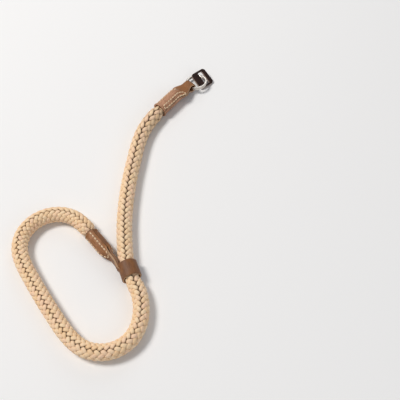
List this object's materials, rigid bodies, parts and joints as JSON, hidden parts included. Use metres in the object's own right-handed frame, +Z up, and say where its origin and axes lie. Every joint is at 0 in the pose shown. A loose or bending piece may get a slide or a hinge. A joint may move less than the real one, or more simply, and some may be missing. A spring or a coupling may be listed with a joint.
{
  "type": "braided rope wrist strap with a running noose",
  "caption": "Soft braided rope strap lying flat: a running noose at one end, and at the other a folded leather end on a split ring with a small leather guard pad.",
  "frame": {"origin": "on the surface that the strap lies on, under the middle of its outline seen from above", "axes": "+Z up from the surface, +Y from the noose towards the ring along the strap's length, +X to the right seen from above"},
  "size_m": [0.1217, 0.2187, 0.0115],
  "materials": {
    "braided_cotton": "matte braid of plump soft strands",
    "tan_leather": "smooth vegetable-tanned leather with a soft sheen",
    "nickel_steel": "bright nickel plating",
    "dark_leather": "dark brown leather with pale raw edges"
  },
  "bodies": {
    "strap": {"rope": "braided_cotton", "ring_end_leather": "tan_leather", "noose_end_leather": "tan_leather"},
    "ring": {"split_ring": "nickel_steel"},
    "guard": {"guard_pad": "dark_leather"}
  },
  "joints": [
    {"name": "ring_swing", "type": "hinge", "parent": "strap", "child": "ring", "pos_m": [0.04383, 0.09345, 0.00392], "axis": [0.6526, -0.7448, 0.1392], "range_deg": [-100, 100]},
    {"name": "guard_slide", "type": "hinge", "parent": "ring", "child": "guard", "pos_m": [0.04871, 0.09766, 0.00361], "axis": [-0.0549, 0.1367, 0.9891], "range_deg": [-40, 40]}
  ]
}
